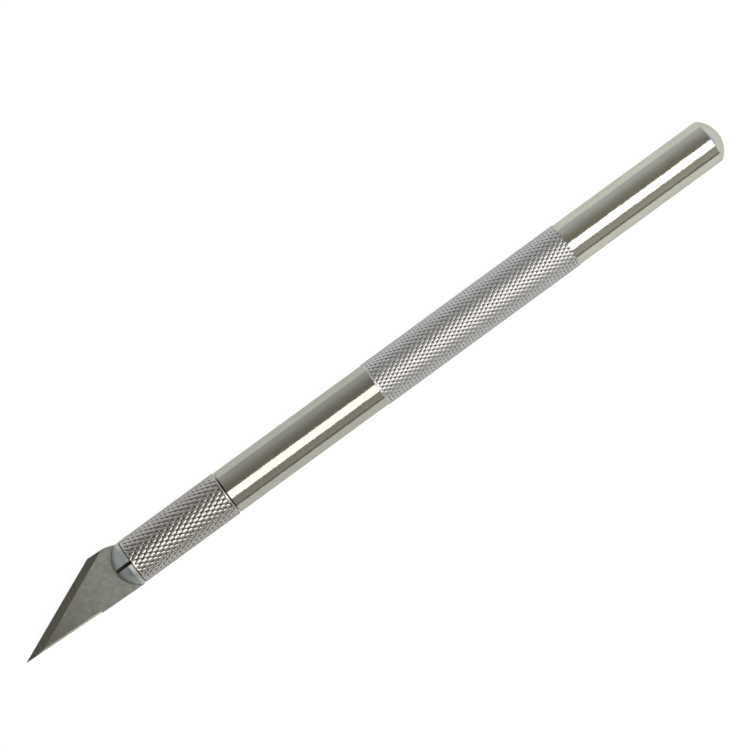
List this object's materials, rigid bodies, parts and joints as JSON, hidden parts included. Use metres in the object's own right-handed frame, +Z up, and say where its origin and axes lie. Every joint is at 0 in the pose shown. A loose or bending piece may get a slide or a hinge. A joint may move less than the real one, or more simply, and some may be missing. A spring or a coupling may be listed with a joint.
{
  "type": "hobby craft knife",
  "caption": "Slim metal craft knife: knurled solid handle, knurled clamping collar, draw-in split collet and a pointed straight-edged blade.",
  "frame": {"origin": "on the surface the knife lies on, under the middle of its length", "axes": "+X along the knife towards the blade's point, -Y towards its cutting edge, +Z up, square to the blade's flats"},
  "size_m": [0.1448, 0.009, 0.0081],
  "materials": {
    "handle_metal": "polished bar with a fine diamond knurl",
    "collar_metal": "bright, coarse diamond knurl",
    "collet_metal": "satin, turned",
    "blade_steel": "matte rolled flats, finely ground edge"
  },
  "bodies": {
    "handle": {"handle": "handle_metal"},
    "collar": {"collar": "collar_metal"},
    "collet": {"collet_shank": "collet_metal"},
    "jaw_1": {"collet_jaw_1": "collet_metal"},
    "jaw_2": {"collet_jaw_2": "collet_metal"},
    "jaw_3": {"collet_jaw_3": "collet_metal"},
    "jaw_4": {"collet_jaw_4": "collet_metal"},
    "blade": {"blade": "blade_steel"}
  },
  "joints": [
    {"name": "collar_turn", "type": "hinge", "parent": "handle", "child": "collar", "pos_m": [0.029, 0, 0.00406], "axis": [1, 0, 0], "range_deg": [0, 1080]},
    {"name": "collet_travel", "type": "slide", "parent": "collar", "child": "collet", "axis": [1, 0, 0], "range_m": [0, 0.00238]},
    {"name": "jaw_1_flex", "type": "hinge", "parent": "collet", "child": "jaw_1", "pos_m": [0.0331, 0.00127, 0.00533], "axis": [0, -0.7071, 0.7071], "range_deg": [0, 1.2]},
    {"name": "jaw_2_flex", "type": "hinge", "parent": "collet", "child": "jaw_2", "pos_m": [0.0331, 0.00127, 0.00279], "axis": [0, 0.7071, 0.7071], "range_deg": [0, 1.2]},
    {"name": "jaw_3_flex", "type": "hinge", "parent": "collet", "child": "jaw_3", "pos_m": [0.0331, -0.00127, 0.00533], "axis": [0, -0.7071, -0.7071], "range_deg": [0, 1.2]},
    {"name": "jaw_4_flex", "type": "hinge", "parent": "collet", "child": "jaw_4", "pos_m": [0.0331, -0.00127, 0.00279], "axis": [0, 0.7071, -0.7071], "range_deg": [0, 1.2]},
    {"name": "blade_pull", "type": "slide", "parent": "collet", "child": "blade", "axis": [1, 0, 0], "range_m": [0, 0.018]}
  ],
  "couplings": [
    {"joint": "collar_turn", "follows": "collet_travel", "rad_per_m": 7915.8},
    {"joint": "jaw_1_flex", "follows": "collet_travel", "rad_per_m": 8.795},
    {"joint": "jaw_2_flex", "follows": "collet_travel", "rad_per_m": 8.795},
    {"joint": "jaw_3_flex", "follows": "collet_travel", "rad_per_m": 8.795},
    {"joint": "jaw_4_flex", "follows": "collet_travel", "rad_per_m": 8.795}
  ]
}
